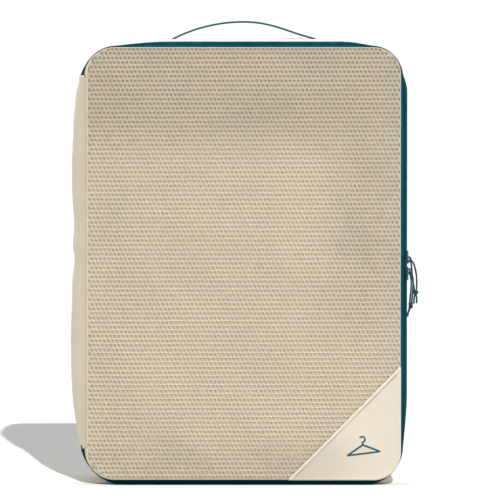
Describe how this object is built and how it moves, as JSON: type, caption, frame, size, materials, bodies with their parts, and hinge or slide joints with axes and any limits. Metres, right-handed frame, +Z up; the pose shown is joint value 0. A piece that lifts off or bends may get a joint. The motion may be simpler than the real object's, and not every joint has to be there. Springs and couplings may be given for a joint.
{
  "type": "packing cube",
  "caption": "Soft zipped packing cube: see-through mesh front flap, bulging cloth walls, two zip sliders with knotted cord pulls, and a webbing grab handle on top.",
  "frame": {"origin": "centre of the bounding box's bottom face, on the surface that the case stands on, measured without the cord pulls", "axes": "+Z up along the case's height to the handle, +Y from the mesh front towards the back panel, +X from the spine to the zip sliders' side"},
  "size_m": [0.3139, 0.1, 0.4207],
  "materials": {
    "case_cloth": "plain-woven matt polyester, cream",
    "binding_cloth": "folded woven binding, matt cream",
    "mesh_cloth": "warp-knitted open mesh, matt sand",
    "patch_cloth": "smooth coated weave, light cream, slight sheen",
    "zip_tape": "knitted zip tape, matt deep teal",
    "zip_coil": "satin nylon coil, deep teal",
    "slider_metal": "satin enamel over cast metal, deep teal",
    "webbing": "flat woven webbing, matt slate teal",
    "pull_cord": "braided cord, matt teal"
  },
  "bodies": {
    "case": {"back_panel": "case_cloth", "gusset_top": "case_cloth", "gusset_right": "case_cloth", "gusset_bottom": "case_cloth", "spine": "case_cloth", "back_binding": "binding_cloth", "zip_tape_case": "zip_tape", "zip_coil_case": "zip_coil", "zip_stop_top": "zip_coil", "zip_stop_bottom": "zip_coil", "handle_backing": "case_cloth", "handle_end_left": "webbing", "handle_end_right": "webbing"},
    "flap": {"mesh_panel": "mesh_cloth", "corner_patch": "patch_cloth", "patch_hem": "patch_cloth", "hinge_tape": "binding_cloth", "flap_binding": "binding_cloth", "zip_tape_flap": "zip_tape", "zip_coil_flap": "zip_coil"},
    "handle": {"handle_strap": "webbing"},
    "slider_upper": {"slider_upper": "slider_metal"},
    "slider_lower": {"slider_lower": "slider_metal"},
    "pull_upper": {"pull_upper_loop": "pull_cord", "pull_upper_knot": "pull_cord", "pull_upper_tail_front": "pull_cord", "pull_upper_tail_rear": "pull_cord"},
    "pull_lower": {"pull_lower_loop": "pull_cord", "pull_lower_knot": "pull_cord", "pull_lower_tail_front": "pull_cord", "pull_lower_tail_rear": "pull_cord"}
  },
  "joints": [
    {"name": "flap_hinge", "type": "hinge", "parent": "case", "child": "flap", "pos_m": [-0.13995, -0.0479, 0.2009], "axis": [0, 0, -1], "range_deg": [0, 180]},
    {"name": "handle_tilt", "type": "hinge", "parent": "case", "child": "handle", "pos_m": [0.00155, 0, 0.4043], "axis": [1, 0, 0], "range_deg": [-30, 30], "stiffness_Nm_per_rad": 0.004},
    {"name": "slider_upper_slide", "type": "slide", "parent": "case", "child": "slider_upper", "axis": [0, 0, 1], "range_m": [0, 0.108]},
    {"name": "slider_lower_slide", "type": "slide", "parent": "case", "child": "slider_lower", "axis": [0, 0, -1], "range_m": [0, 0.104]},
    {"name": "pull_upper_swing", "type": "hinge", "parent": "slider_upper", "child": "pull_upper", "pos_m": [0.15199, -0.0335, 0.2044], "axis": [0, -1, 0], "range_deg": [0, 95]},
    {"name": "pull_lower_swing", "type": "hinge", "parent": "slider_lower", "child": "pull_lower", "pos_m": [0.15199, -0.0335, 0.1936], "axis": [0, -1, 0], "range_deg": [0, 75]}
  ]
}
